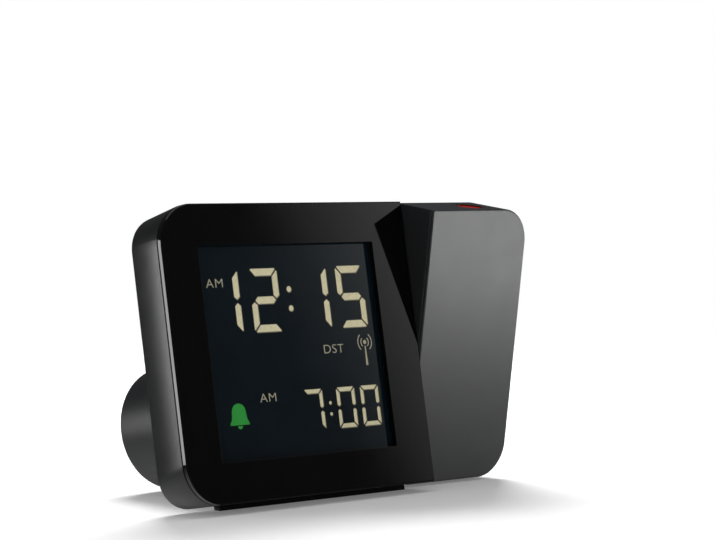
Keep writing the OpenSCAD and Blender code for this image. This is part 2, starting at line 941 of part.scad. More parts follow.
module head_shell() {
    color("#3c3d40")
        in_head()
            difference() {
                hull() {
                    slab(shell_n + head_seam, head_back - head_edge) head_outline();
                    slab(head_back - eps, head_back) head_outline(head_edge);
                }
                slab(shell_n - 1, shell_back) head_outline(head_wall);
                rod_x(0, 0, -1, head_wall + 1, pivot_r + press_gap);
                // lens opening in the top
                rod_u(lens_x, lens_n, head_up - head_wall - 1, head_up + 1, ring_r + fit);
                // focus wheel: shaft hole and the shallow seat of its disc
                rod_x(focus_n, focus_u, head_w - head_wall - 1, head_w + 1, shaft_r + bore_gap);
                rod_x(focus_n, focus_u, head_w - wheel_seat, head_w + 1, focus_r + head_gap);
                // flip button
                rod_d(flip_x, flip_u, shell_back - 1, head_back + 1, button_r + slide_gap);
                for (place = head_screw_places) {
                    rod_d(place[0], place[1], shell_back - 1, head_back + 1, head_screw_r + screw_gap);
                    rod_d(place[0], place[1], head_back - 1, head_back + 1, head_screw_top + screw_gap);
                }
            }
}

module head_screws() {
    color("silver")
        in_head()
            for (place = head_screw_places)
                difference() {
                    union() {
                        rod_d(place[0], place[1], head_back - 1 + eps, head_back - fit, head_screw_top);
                        rod_d(place[0], place[1], shell_n + 3, head_back - 1 + 2 * eps, head_screw_r);
                    }
                    for (turn = [0, 90])
                        translate([place[0], head_back - 0.1, place[1]])
                            rotate([0, turn, 0])
                                cube(head_recess, center = true);
                }
}

// the projector hangs from the head's top and lies just behind the front cover
barrel_len = 12;
barrel_wall = 1.2;
barrel_drop = 3.4;
barrel_top = head_up - head_wall - barrel_drop;
barrel_low = barrel_top - barrel_len;
housing_wall = 1.1;
housing_floor = 1.6;
housing_r = barrel_r + slide_gap / 2 + housing_wall;
barrel_reach = 3;
housing_top = barrel_top - barrel_reach;
lens_n = shell_n + 0.2 + housing_r;
lcd_gap = 10;
lcd_u = barrel_low - lcd_gap;
lcd_half = 3.1;
lcd_t = 1.4;
condenser_gap = 7;
condenser_u = lcd_u - condenser_gap;
condenser_t = 4;
condenser_curve = 8;
housing_gap = 15;
housing_low = lcd_u - housing_gap;
led_board_t = 1;
led_r = 1.5;
led_h = 2.8;
foot_low = 4;
foot_high = 20;
housing_feet = [housing_low + foot_low, housing_low + foot_high];
foot_bar = [10, 3];
focus_drop = 10;
focus_u = barrel_top - focus_drop;
focus_step = 1.5;
focus_n = lens_n + focus_step;
pitch = 2 * PI * pinion_r / pinion_teeth;
tooth_h = pitch * 0.52;
tooth_root = pitch * 0.24;
tooth_tip = pitch * 0.11;
tooth_sink = 0.3;
rack_n = focus_n - pinion_r;
rack_gap = 2.6;
rack_x = lens_x + barrel_r + rack_gap;
rack_w = 3.2;
rack_t = 1.4;
rack_half = 1.6 * pitch;

module projector_housing() {
    color("#1c1d1f")
        in_head()
            difference() {
                union() {
                    rod_u(lens_x, lens_n, housing_low, housing_top, housing_r);
                    // feet that carry the housing on the front cover
                    for (u = housing_feet)
                        block([lens_x - foot_bar[0] / 2, shell_n, u], [lens_x + foot_bar[0] / 2, lens_n, u + foot_bar[1]]);
                }
                rod_u(lens_x, lens_n, housing_low + housing_floor, housing_top + 1, barrel_r + slide_gap / 2);
                // window for the rack on the barrel's right side
                block([lens_x + housing_r / 2, lens_n - housing_r + 1, lcd_u + 5],
                      [lens_x + 2 * housing_r, lens_n + housing_r - 1, housing_top + 1]);
                // opening for the board's leads at the foot
                rod_u(lens_x, lens_n, housing_low - 1, housing_low + housing_floor + 1, barrel_r - 1.2);
            }
}

module led_board() {
    color("#1f5a34")
        in_head()
            rod_u(lens_x, lens_n, housing_low + housing_floor + eps,
                  housing_low + housing_floor + led_board_t, barrel_r);
}

module projector_led() {
    color("#c62a22")
        in_head() {
            rod_u(lens_x, lens_n, housing_low + housing_floor + led_board_t,
                  housing_low + housing_floor + led_board_t + led_h, led_r);
            translate([lens_x, lens_n, housing_low + housing_floor + led_board_t + led_h])
                sphere(r = led_r);
        }
}

module condenser_lens() {
    color("#dfe8ee")
        in_head()
            intersection() {
                rod_u(lens_x, lens_n, condenser_u, condenser_u + condenser_t, barrel_r);
                translate([lens_x, lens_n, condenser_u + condenser_t - condenser_curve])
                    sphere(r = condenser_curve);
            }
}

module picture_lcd() {
    color("#2b3340")
        in_head()
            block([lens_x - lcd_half, lens_n - lcd_half, lcd_u],
                  [lens_x + lcd_half, lens_n + lcd_half, lcd_u + lcd_t]);
}

// one tooth outline: root on y = 0, tip up, sunk into what carries it
module tooth() {
    polygon([[-tooth_root, -tooth_sink], [tooth_root, -tooth_sink], [tooth_root, 0],
             [tooth_tip, tooth_h], [-tooth_tip, tooth_h], [-tooth_root, 0]]);
}

module lens_barrel() {
    color("#111214")
        in_head() {
            difference() {
                rod_u(lens_x, lens_n, barrel_low, barrel_top, barrel_r);
                rod_u(lens_x, lens_n, barrel_low - 1, barrel_top + 1, barrel_r - barrel_wall);
            }
            // rack carried beside the barrel
            block([lens_x + barrel_r - barrel_wall, rack_n - tooth_h / 2 - rack_t, focus_u - rack_half],
                  [rack_x + rack_w, rack_n - tooth_h / 2, focus_u + rack_half]);
            translate([rack_x, rack_n - tooth_h / 2, focus_u])
                rotate([0, 90, 0])
                    linear_extrude(rack_w)
                        for (place = [-1, 0, 1])
                            translate([place * pitch, 0])
                                tooth();
        }
}

lens_t = 4.2;
lens_curve = 6;

module barrel_lens() {
    color("#dfe8ee")
        in_head()
            intersection() {
                rod_u(lens_x, lens_n, barrel_top - 0.8 - lens_t, barrel_top - 0.8, barrel_r - barrel_wall);
                translate([lens_x, lens_n, barrel_top - 0.8 - lens_curve])
                    sphere(r = lens_curve);
            }
}

window_t = 0.7;
window_seat = 1;
window_lap = 0.6;

module lens_surround() {
    color("#1a1b1d")
        in_head()
            difference() {
                union() {
                    rod_u(lens_x, lens_n, head_up - head_wall, head_up, ring_r);
                    rod_u(lens_x, lens_n, head_up - head_wall - ring_t, head_up - head_wall, ring_r + ring_flange);
                }
                rod_u(lens_x, lens_n, head_up - head_wall - 2, head_up + 1, lens_window_r);
                rod_u(lens_x, lens_n, head_up - window_seat, head_up + 1, lens_window_r + window_lap);
            }
}

module lens_window() {
    color([0.8, 0.1, 0.08, 0.6])
        in_head()
            rod_u(lens_x, lens_n, head_up - window_seat + eps, head_up - window_seat + window_t,
                  lens_window_r + window_lap - bore_gap);
}

module focus_wheel() {
    color("#26272a")
        in_head() {
            difference() {
                rod_x(focus_n, focus_u, head_w - wheel_seat + slide_gap, head_w + focus_proud, focus_r);
                for (notch = [0:focus_notches - 1])
                    translate([head_w - 1, focus_n, focus_u])
                        rotate([notch * 360 / focus_notches, 0, 0])
                            translate([0, focus_r + notch_r / 3, 0])
                                rotate([0, 90, 0])
                                    cylinder(h = focus_proud + 2, r = notch_r, $fn = 16);
            }
            rod_x(focus_n, focus_u, rack_x, head_w - wheel_seat + slide_gap + eps, shaft_r);
        }
}

// pinion pressed on the wheel's shaft, with a tooth space facing the rack
module focus_pinion() {
    color("#e9e6dc")
        in_head()
            difference() {
                translate([rack_x, focus_n, focus_u])
                    rotate([0, 90, 0])
                        linear_extrude(rack_w) {
                            circle(pinion_r - tooth_h / 2);
                            for (turn = [0:pinion_teeth - 1])
                                rotate(180 + (turn + 0.5) * 360 / pinion_teeth)
                                    translate([0, pinion_r - tooth_h / 2])
                                        tooth();
                        }
                rod_x(focus_n, focus_u, rack_x - 1, rack_x + rack_w + 1, shaft_r + press_gap);
            }
}

module flip_switch() {
    color("#1f5a34")
        in_head() {
            block([flip_x - flip_board / 2, flip_n - board_t, flip_u - flip_board / 2],
                  [flip_x + flip_board / 2, flip_n, flip_u + flip_board / 2]);
            tact_switch(flip_x, flip_u, flip_n - eps);
        }
}

module flip_button() {
    color("#26272a")
        in_head() {
            rod_d(flip_x, flip_u, shell_back - fit - eps, head_back + button_proud, button_r);
            rod_d(flip_x, flip_u, shell_back - fit - flange_r, shell_back - fit, button_r + flange_r);
        }
}

front_bezel();
rear_case();
display_glass();
display_holder();
light_guide();
main_board();
key_switches();
snooze_switch();
antenna_rod();
sounder();
snooze_bar();
set_key(0);  // set_button
set_key(1);  // mode_button
set_key(2);  // plus_button
set_key(3);  // minus_button
alarm_switch();
power_inlet();
drum_housing();
drum_lock_ring();
cell_cradle();
battery_cells();
battery_contacts();
battery_cap();
case_screws();
front_foot();
rear_foot();
pivot_bush();
spring_washer();
pivot_tube();
retaining_clip();
head_cover();
head_shell();
head_screws();
projector_housing();
led_board();
projector_led();
condenser_lens();
picture_lcd();
lens_barrel();
barrel_lens();
lens_surround();
lens_window();
focus_wheel();
focus_pinion();
flip_switch();
flip_button();
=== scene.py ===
import math
import bpy
import numpy as np
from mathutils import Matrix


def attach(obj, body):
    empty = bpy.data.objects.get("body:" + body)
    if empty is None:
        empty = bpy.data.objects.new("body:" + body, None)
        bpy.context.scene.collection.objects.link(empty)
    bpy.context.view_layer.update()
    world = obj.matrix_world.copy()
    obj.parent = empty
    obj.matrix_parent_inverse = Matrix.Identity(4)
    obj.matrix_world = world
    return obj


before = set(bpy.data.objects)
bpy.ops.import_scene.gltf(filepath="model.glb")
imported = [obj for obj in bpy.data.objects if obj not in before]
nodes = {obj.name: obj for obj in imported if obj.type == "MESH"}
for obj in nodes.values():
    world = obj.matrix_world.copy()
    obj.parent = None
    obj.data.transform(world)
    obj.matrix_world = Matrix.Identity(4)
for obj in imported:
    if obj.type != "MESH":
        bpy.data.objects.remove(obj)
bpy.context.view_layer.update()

mm = 0.001
print("frame loaded:", len(nodes), "nodes")

# the camera stands where the photograph was taken from
photoView = {
    "azimuth": 44.0,                          # degrees to the right of straight ahead
    "dip": 2.044,                             # degrees below the horizon
    "lens": 132.57,                           # mm
    "sensor": 36.0,                           # mm across
    "place": (-0.53223, -0.57691, 0.09361),   # metres
    "clip": (0.02, 60.0),
}
cameraData = bpy.data.cameras.new("photoCamera")
cameraData.lens = photoView["lens"]
cameraData.sensor_width = photoView["sensor"]
cameraData.clip_start, cameraData.clip_end = photoView["clip"]
camera = bpy.data.objects.new("photoCamera", cameraData)
camera.location = photoView["place"]
camera.rotation_euler = (math.radians(90 - photoView["dip"]), 0, -math.radians(photoView["azimuth"]))
bpy.context.scene.collection.objects.link(camera)
bpy.context.scene.camera = camera

toneSpan = (0.35, 0.65)     # noise values over which a body colour changes
hazeSpan = (0.3, 0.7)       # noise values over which the polish changes
edgeSpan = (0.999, 0.85)    # cosines of the turn where the edge colour, partly wear and partly painted highlight, starts and is fully laid on


def hexColour(code):
    # sRGB hex to linear light, channel by channel
    parts = [int(code[i:i + 2], 16) / 255 for i in (1, 3, 5)]
    return tuple(p / 12.92 if p <= 0.04045 else ((p + 0.055) / 1.055) ** 2.4 for p in parts) + (1.0,)


def addNode(tree, kind, values=None, links=None, **settings):
    # one node with its settings, its own input values and its links
    node = tree.nodes.new(kind)
    for name, value in settings.items():
        setattr(node, name, value)
    for name, value in (values or {}).items():
        node.inputs[name].default_value = value
    for name, socket in (links or {}).items():
        tree.links.new(socket, node.inputs[name])
    return node


def newMaterial(name):
    material = bpy.data.materials.new(name)
    material.use_nodes = True
    material.node_tree.nodes.clear()
    return material, material.node_tree


def finishWith(tree, shader):
    addNode(tree, "ShaderNodeOutputMaterial", links={"Surface": shader.outputs[0]})


def twoTones(tree, pattern, span, dark, light):
    # two colours, blended over a stretch of the pattern's values
    share = addNode(tree, "ShaderNodeMapRange", {"From Min": span[0], "From Max": span[1]},
                    {"Value": pattern})
    blend = addNode(tree, "ShaderNodeMix", {6: hexColour(dark), 7: hexColour(light)},
                    {0: share.outputs["Result"]}, data_type="RGBA")
    return blend.outputs[2]


def dress(material, names):
    # CAD nodes keep their mesh; only the material slot is filled
    for name in names:
        mesh = nodes[name].data
        mesh.materials.clear()
        mesh.materials.append(material)


shading = {"weld": 2e-6, "angle": 32, "weight": 100, "thresh": 0.001}


def softenShading(names):
    # joins the loose triangles and keeps flat faces flat beside round ones
    for name in names:
        piece = nodes[name]
        piece.data.polygons.foreach_set("use_smooth", [True] * len(piece.data.polygons))
        weld = piece.modifiers.new("weld", "WELD")
        weld.merge_threshold = shading["weld"]
        split = piece.modifiers.new("split", "EDGE_SPLIT")
        split.split_angle = math.radians(shading["angle"])
        split.use_edge_sharp = False
        even = piece.modifiers.new("even", "WEIGHTED_NORMAL")
        even.mode = "FACE_AREA"
        even.weight = shading["weight"]
        even.thresh = shading["thresh"]


def mouldedPlastic(name, look):
    # injection-moulded plastic: spark-eroded grain, flow clouds, handling haze, and an edge colour that is
    # partly wear and partly painted highlight
    material, tree = newMaterial(name)
    place = addNode(tree, "ShaderNodeTexCoord").outputs["Object"]
    cloud = addNode(tree, "ShaderNodeTexNoise", {"Scale": 1 / (look["cloud"] * mm), "Detail": 3.0},
                    {"Vector": place})
    haze = addNode(tree, "ShaderNodeTexNoise",
                   {"Scale": 1 / (look["haze"] * mm), "Detail": 5.0, "Roughness": 0.65}, {"Vector": place})
    grain = addNode(tree, "ShaderNodeTexNoise", {"Scale": 1 / (look["grain"] * mm), "Detail": 2.0},
                    {"Vector": place})
    body = twoTones(tree, cloud.outputs["Fac"], toneSpan, look["dark"], look["light"])
    # edges: where the rounded normal leaves the true one; the colour laid there is partly wear and partly
    # painted highlight
    rounded = addNode(tree, "ShaderNodeBevel", {"Radius": look["edge"] * mm}, samples=6)
    true = addNode(tree, "ShaderNodeNewGeometry").outputs["Normal"]
    turn = addNode(tree, "ShaderNodeVectorMath", operation="DOT_PRODUCT",
                   links={0: rounded.outputs["Normal"], 1: true})
    edge = addNode(tree, "ShaderNodeMapRange",
                   {"From Min": edgeSpan[0], "From Max": edgeSpan[1], "To Max": look["edgeWearAndHighlightShare"]},
                   {"Value": turn.outputs["Value"]})
    # the edge colour, patchy with the haze: wear, and on pale-edged looks such as the head a painted
    # highlight
    edgeWearAndHighlightMask = addNode(tree, "ShaderNodeMath", operation="MULTIPLY",
                     links={0: edge.outputs["Result"], 1: haze.outputs["Fac"]})
    colour = addNode(tree, "ShaderNodeMix", {7: hexColour(look["edgeWearAndHighlight"])}, {0: edgeWearAndHighlightMask.outputs[0], 6: body},
                     data_type="RGBA")
    rough = addNode(tree, "ShaderNodeMapRange", {"From Min": hazeSpan[0], "From Max": hazeSpan[1],
                                                 "To Min": look["rough"][0], "To Max": look["rough"][1]},
                    {"Value": haze.outputs["Fac"]})
    normal = rounded.outputs["Normal"]
    if "crown" in look:
        # the walls bulge by this much over the depth, counted back from the front edge
        start, depth, rise = look["crown"]
        along = addNode(tree, "ShaderNodeVectorMath", {1: tuple(backWay)}, {0: place},
                        operation="DOT_PRODUCT")
        part = addNode(tree, "ShaderNodeMapRange", {"From Min": start, "From Max": start + depth},
                       {"Value": along.outputs["Value"]}, clamp=False)
        curve = addNode(tree, "ShaderNodeMath", {1: 2.0}, {0: part.outputs["Result"]}, operation="POWER")
        drop = addNode(tree, "ShaderNodeMath", {1: -rise}, {0: curve.outputs[0]}, operation="MULTIPLY")
        crown = addNode(tree, "ShaderNodeBump", {"Strength": 1.0, "Distance": 1.0},
                        {"Height": drop.outputs[0], "Normal": normal})
        normal = crown.outputs["Normal"]
    bump = addNode(tree, "ShaderNodeBump", {"Strength": 1.0, "Distance": look["relief"] * mm},
                   {"Height": grain.outputs["Fac"], "Normal": normal})
    shader = addNode(tree, "ShaderNodeBsdfPrincipled", {"IOR": 1.5},
                     {"Base Color": colour.outputs[2], "Roughness": rough.outputs["Result"],
                      "Normal": bump.outputs["Normal"]})
    finishWith(tree, shader)
    return material


def drawnMetal(name, look):
    # rolled or turned metal: fine lines, dull and bright patches
    material, tree = newMaterial(name)
    place = addNode(tree, "ShaderNodeTexCoord").outputs["Object"]
    stretch = addNode(tree, "ShaderNodeMapping", {"Scale": look["lines"]}, {"Vector": place})
    line = addNode(tree, "ShaderNodeTexNoise", {"Scale": 1 / (look["grain"] * mm), "Detail": 3.0},
                   {"Vector": stretch.outputs[0]})
    patch = addNode(tree, "ShaderNodeTexNoise", {"Scale": 1 / (look["patch"] * mm), "Detail": 4.0},
                    {"Vector": place})
    tone = twoTones(tree, patch.outputs["Fac"], toneSpan, look["dark"], look["light"])
    rough = addNode(tree, "ShaderNodeMapRange", {"From Min": hazeSpan[0], "From Max": hazeSpan[1],
                                                 "To Min": look["rough"][0], "To Max": look["rough"][1]},
                    {"Value": patch.outputs["Fac"]})
    rounded = addNode(tree, "ShaderNodeBevel", {"Radius": look["edge"] * mm}, samples=4)
    bump = addNode(tree, "ShaderNodeBump", {"Strength": 1.0, "Distance": look["relief"] * mm},
                   {"Height": line.outputs["Fac"], "Normal": rounded.outputs["Normal"]})
    shader = addNode(tree, "ShaderNodeBsdfPrincipled", {"Metallic": 1.0},
                     {"Base Color": tone, "Roughness": rough.outputs["Result"],
                      "Normal": bump.outputs["Normal"]})
    finishWith(tree, shader)
    return material


clearSurface = {"wave": 3.0, "dust": 0.4, "dustSpan": (0.4, 0.75), "relief": 0.004, "ior": 1.49}


def clearPlastic(name, look):
    # cast or moulded clear part: tint, slight waviness, dust haze
    material, tree = newMaterial(name)
    place = addNode(tree, "ShaderNodeTexCoord").outputs["Object"]
    wave = addNode(tree, "ShaderNodeTexNoise", {"Scale": 1 / (clearSurface["wave"] * mm), "Detail": 2.0},
                   {"Vector": place})
    dust = addNode(tree, "ShaderNodeTexNoise", {"Scale": 1 / (clearSurface["dust"] * mm), "Detail": 4.0},
                   {"Vector": place})
    tone = twoTones(tree, wave.outputs["Fac"], toneSpan, look["dark"], look["light"])
    low, high = clearSurface["dustSpan"]
    rough = addNode(tree, "ShaderNodeMapRange", {"From Min": low, "From Max": high,
                                                 "To Min": look["rough"][0], "To Max": look["rough"][1]},
                    {"Value": dust.outputs["Fac"]})
    bump = addNode(tree, "ShaderNodeBump", {"Strength": 1.0, "Distance": clearSurface["relief"] * mm},
                   {"Height": wave.outputs["Fac"]})
    shader = addNode(tree, "ShaderNodeBsdfPrincipled",
                     {"IOR": clearSurface["ior"], "Transmission Weight": look["clear"],
                      "Emission Color": hexColour(look["glow"]), "Emission Strength": look["glowing"]},
                     {"Base Color": tone, "Roughness": rough.outputs["Result"],
                      "Normal": bump.outputs["Normal"]})
    finishWith(tree, shader)
    return material


# the clock's own frame: x from the body's left side, d back from its face, u up it
lean = math.radians(10)
glassShape = {"left": 11.0, "low": 9.4, "recess": 1.9}     # the display glass's lower left front corner
glassPoints = np.zeros(len(nodes["display_glass"].data.vertices) * 3)
nodes["display_glass"].data.vertices.foreach_get("co", glassPoints)
glassPoints = glassPoints.reshape(-1, 3)
backWay = np.array((0, math.cos(lean), -math.sin(lean)))
upWay = np.array((0, math.sin(lean), math.cos(lean)))
glassDepth = glassPoints @ backWay
flatness = 0.01 * mm
glassFace = glassPoints[glassDepth < glassDepth.min() + flatness]
clockStart = np.array((glassFace[:, 0].min() - glassShape["left"] * mm,
                       glassDepth.min() - glassShape["recess"] * mm,
                       (glassFace @ upWay).min() - glassShape["low"] * mm))


def onClock(x, d, u):
    # a point x right, d back and u up in mm on the body, as table coordinates in metres
    x, d, u = (clockStart[k] + np.asarray(v, float) * mm for k, v in enumerate((x, d, u)))
    return np.stack((x, d * backWay[1] + u * upWay[1], d * backWay[2] + u * upWay[2]), axis=-1)


# ---- casings

caseWalls = {"start": 1.9, "depth": 11.7, "rise": 1.6}      # mm, counted back from the front
# satin ABS: a soft broad shine that slides round the bulging walls
caseLook = {
    "dark": "#161718", "light": "#191a1c", "edgeWearAndHighlight": "#3e3f42", "cloud": 14.0, "haze": 5.0, "grain": 0.16,
    "relief": 0.005, "rough": (0.3, 0.34), "edge": 0.25, "edgeWearAndHighlightShare": 0.5,
    "crown": (clockStart[1] + caseWalls["start"] * mm, caseWalls["depth"] * mm, caseWalls["rise"] * mm),
}
# the same ABS from a duller mould, its colour a little paler than the case's as painted light; one wide dim
# band down the round side
drumPaintedLightLook = {
    "dark": "#1a1b1c", "light": "#1f2022", "edgeWearAndHighlight": "#3e3f42", "cloud": 14.0, "haze": 5.0, "grain": 0.16,
    "relief": 0.005, "rough": (0.4, 0.46), "edge": 0.25, "edgeWearAndHighlightShare": 0.5,
}
# charcoal ABS: a flat face that pales slowly towards the light, with paler edges that are partly wear and
# partly painted highlight
headLook = {
    "dark": "#28292b", "light": "#2a2b2d", "edgeWearAndHighlight": "#7a7b7e", "cloud": 16.0, "haze": 6.0, "grain": 0.14,
    "relief": 0.005, "rough": (0.37, 0.4), "edge": 0.35, "edgeWearAndHighlightShare": 0.8,
}
# polished ABS: almost black, a mirror with barely softened images
bezelLook = {
    "dark": "#050506", "light": "#070708", "edgeWearAndHighlight": "#17181a", "cloud": 20.0, "haze": 9.0, "grain": 1.8,
    "relief": 0.0015, "rough": (0.045, 0.065), "edge": 0.15, "edgeWearAndHighlightShare": 0.3,
}
# ABS keys: dark grey with edges that fingers have paled
keyLook = {
    "dark": "#1b1c1e", "light": "#222326", "edgeWearAndHighlight": "#3c3d40", "cloud": 6.0, "haze": 2.5, "grain": 0.1,
    "relief": 0.004, "rough": (0.3, 0.42), "edge": 0.2, "edgeWearAndHighlightShare": 0.8,
}
# unpolished dark ABS inside, dull and darkened further than the case as painted shade, so that it sinks
# behind the openings
innerPaintedShadeLook = {
    "dark": "#101112", "light": "#17181a", "edgeWearAndHighlight": "#2a2b2d", "cloud": 7.0, "haze": 3.0, "grain": 0.2,
    "relief": 0.008, "rough": (0.45, 0.6), "edge": 0.12, "edgeWearAndHighlightShare": 0.3,
}
# rubber: no shine, a coarse grain and dusty edges
rubberLook = {
    "dark": "#131313", "light": "#1b1b1b", "edgeWearAndHighlight": "#3a3937", "cloud": 3.0, "haze": 1.2, "grain": 0.25,
    "relief": 0.02, "rough": (0.75, 0.92), "edge": 0.2, "edgeWearAndHighlightShare": 0.9,
}
# acetal: creamy white with a waxy sheen
acetalLook = {
    "dark": "#d8d6cc", "light": "#e6e4db", "edgeWearAndHighlight": "#bfbcb0", "cloud": 4.0, "haze": 1.5, "grain": 0.15,
    "relief": 0.004, "rough": (0.3, 0.42), "edge": 0.1, "edgeWearAndHighlightShare": 0.6,
}
caseSatin = mouldedPlastic("satinBlackABS", caseLook)
drumPaintedLightSatin = mouldedPlastic("satinBlackABSdrum", drumPaintedLightLook)
headSatin = mouldedPlastic("satinCharcoalABS", headLook)
bezelGloss = mouldedPlastic("pianoBlackABS", bezelLook)
keyPlastic = mouldedPlastic("keyPlasticABS", keyLook)
innerPaintedShadePlastic = mouldedPlastic("innerBlackABS", innerPaintedShadeLook)
rubber = mouldedPlastic("mouldedRubber", rubberLook)
acetal = mouldedPlastic("acetal", acetalLook)
dress(caseSatin, ["rear_case"])
dress(drumPaintedLightSatin, ["drum_housing", "battery_cap"])
dress(headSatin, ["head_cover", "head_shell"])
dress(bezelGloss, ["front_bezel", "lens_surround"])
dress(keyPlastic, ["snooze_bar", "set_button", "mode_button", "plus_button", "minus_button", "alarm_switch",
                   "flip_button", "focus_wheel"])
dress(innerPaintedShadePlastic, ["display_holder", "power_inlet", "cell_cradle", "projector_housing", "lens_barrel"])
dress(rubber, ["front_foot", "rear_foot"])
dress(acetal, ["pivot_bush", "focus_pinion"])
print("plastics done")

# ---- metals

# spring steel: grey, drawn along one way, with bright and dull patches
steelLook = {
    "dark": "#8f9194", "light": "#b9bbbd", "rough": (0.25, 0.4), "grain": 0.2, "lines": (1, 1, 6),
    "relief": 0.002, "patch": 2.5, "edge": 0.08,
}
# zinc plate: darker and even all round
screwLook = {
    "dark": "#6f7073", "light": "#9c9da0", "rough": (0.28, 0.45), "grain": 0.12, "lines": (1, 1, 1),
    "relief": 0.002, "patch": 2.5, "edge": 0.08,
}
# rolled brass: warm, with lines across
brassLook = {
    "dark": "#a8874a", "light": "#c9a866", "rough": (0.22, 0.38), "grain": 0.2, "lines": (1, 5, 1),
    "relief": 0.002, "patch": 2.5, "edge": 0.08,
}
springSteel = drawnMetal("springSteel", steelLook)
screwSteel = drawnMetal("zincPlatedSteel", screwLook)
brass = drawnMetal("rolledBrass", brassLook)
dress(springSteel, ["drum_lock_ring", "battery_contacts", "spring_washer", "retaining_clip", "pivot_tube"])
dress(screwSteel, ["case_screws", "head_screws", "key_switches", "snooze_switch"])
dress(brass, ["sounder"])
print("metals done")

# ---- boards, coil rod and cells

# solder mask: deep green, paler over the tracks, with the weave just showing
boardLook = {
    "mask": "#0f4a2c", "maskLight": "#17613a", "track": 9.0, "trackWidth": 0.03, "weave": 0.5,
    "relief": 0.01, "rough": (0.28, 0.45),
}
# enamelled wire: copper-brown turns with dark gaps
wireLook = {
    "radian": 0.5, "dark": "#5c2f16", "light": "#a35a2b", "span": (0.2, 0.8), "rough": (0.3, 0.5),
    "metal": 0.3, "relief": 0.05,
}
# printed film on a steel can: grey bands with a metal shine
cellLook = {
    "radian": 6.0, "dark": "#3c4247", "light": "#70777d", "span": (0.2, 0.8), "rough": (0.25, 0.35),
    "metal": 0.6, "relief": 0.05,
}
waveRate = 20               # radians of the wave texture's phase per unit of its scale


def circuitBoard(name, look):
    # glass-epoxy board under green solder mask, with tracks showing as paler runs
    material, tree = newMaterial(name)
    place = addNode(tree, "ShaderNodeTexCoord").outputs["Object"]
    cells = addNode(tree, "ShaderNodeTexBrick",
                    {"Scale": 1 / (look["track"] * mm), "Mortar Size": look["trackWidth"],
                     "Color1": hexColour(look["mask"]), "Color2": hexColour(look["mask"]),
                     "Mortar": hexColour(look["maskLight"])}, {"Vector": place})
    weave = addNode(tree, "ShaderNodeTexNoise", {"Scale": 1 / (look["weave"] * mm), "Detail": 2.0},
                    {"Vector": place})
    bump = addNode(tree, "ShaderNodeBump", {"Strength": 1.0, "Distance": look["relief"] * mm},
                   {"Height": weave.outputs["Fac"]})
    rough = addNode(tree, "ShaderNodeMapRange", {"To Min": look["rough"][0], "To Max": look["rough"][1]},
                    {"Value": weave.outputs["Fac"]})
    shader = addNode(tree, "ShaderNodeBsdfPrincipled",
                     links={"Base Color": cells.outputs["Color"], "Roughness": rough.outputs["Result"],
                            "Normal": bump.outputs["Normal"]})
    finishWith(tree, shader)
    return material


def bandedAlongX(name, look):
    # bands of two finishes across the X axis, such as wound wire on a dark rod
    material, tree = newMaterial(name)
    place = addNode(tree, "ShaderNodeTexCoord").outputs["Object"]
    turns = addNode(tree, "ShaderNodeTexWave",
                    {"Scale": 1 / (look["radian"] * mm) / waveRate, "Distortion": 0.4, "Detail": 1.0},
                    {"Vector": place}, wave_type="BANDS", bands_direction="X")
    tone = twoTones(tree, turns.outputs["Fac"], look["span"], look["dark"], look["light"])
    rough = addNode(tree, "ShaderNodeMapRange", {"To Min": look["rough"][0], "To Max": look["rough"][1]},
                    {"Value": turns.outputs["Fac"]})
    bump = addNode(tree, "ShaderNodeBump", {"Strength": 1.0, "Distance": look["relief"] * mm},
                   {"Height": turns.outputs["Fac"]})
    shader = addNode(tree, "ShaderNodeBsdfPrincipled", {"Metallic": look["metal"]},
                     {"Base Color": tone, "Roughness": rough.outputs["Result"],
                      "Normal": bump.outputs["Normal"]})
    finishWith(tree, shader)
    return material


dress(circuitBoard("solderMask", boardLook), ["main_board", "led_board", "flip_switch"])
dress(bandedAlongX("enamelledWire", wireLook), ["antenna_rod"])
dress(bandedAlongX("cellJacket", cellLook), ["battery_cells"])
print("boards and cells done")

# ---- clear parts

# acrylic guide: milky, bright at its edges
guideLook = {
    "dark": "#dfe8e0", "light": "#eef4ee", "clear": 0.6, "rough": (0.1, 0.25),
    "glow": "#ffffff", "glowing": 0.0,
}
# cast lens: clear as water
lensLook = {
    "dark": "#eef3f5", "light": "#f8fbfc", "clear": 1.0, "rough": (0.01, 0.05),
    "glow": "#ffffff", "glowing": 0.0,
}
# red acrylic: deep red with a little of the lamp's light in it
windowLook = {
    "dark": "#8a0d0d", "light": "#a61212", "clear": 0.35, "rough": (0.03, 0.09),
    "glow": "#ff2a1c", "glowing": 0.12,
}
# lamp resin: red and lit from inside
lampLook = {
    "dark": "#b01510", "light": "#d01f17", "clear": 0.3, "rough": (0.05, 0.12),
    "glow": "#ff2a1c", "glowing": 1.5,
}
dress(clearPlastic("acrylicGuide", guideLook), ["light_guide"])
dress(clearPlastic("castLens", lensLook), ["condenser_lens", "barrel_lens", "picture_lcd"])
dress(clearPlastic("redAcrylic", windowLook), ["lens_window"])
dress(clearPlastic("redLampResin", lampLook), ["projector_led"])
print("clear parts done")

# ---- display

# polariser film over a dark panel: navy-black with a low-glare sheen
displayLook = {"dark": "#0b161c", "light": "#0e1a21", "rough": (0.06, 0.1), "cloud": 22.0, "grain": 0.2,
               "relief": 0.001}


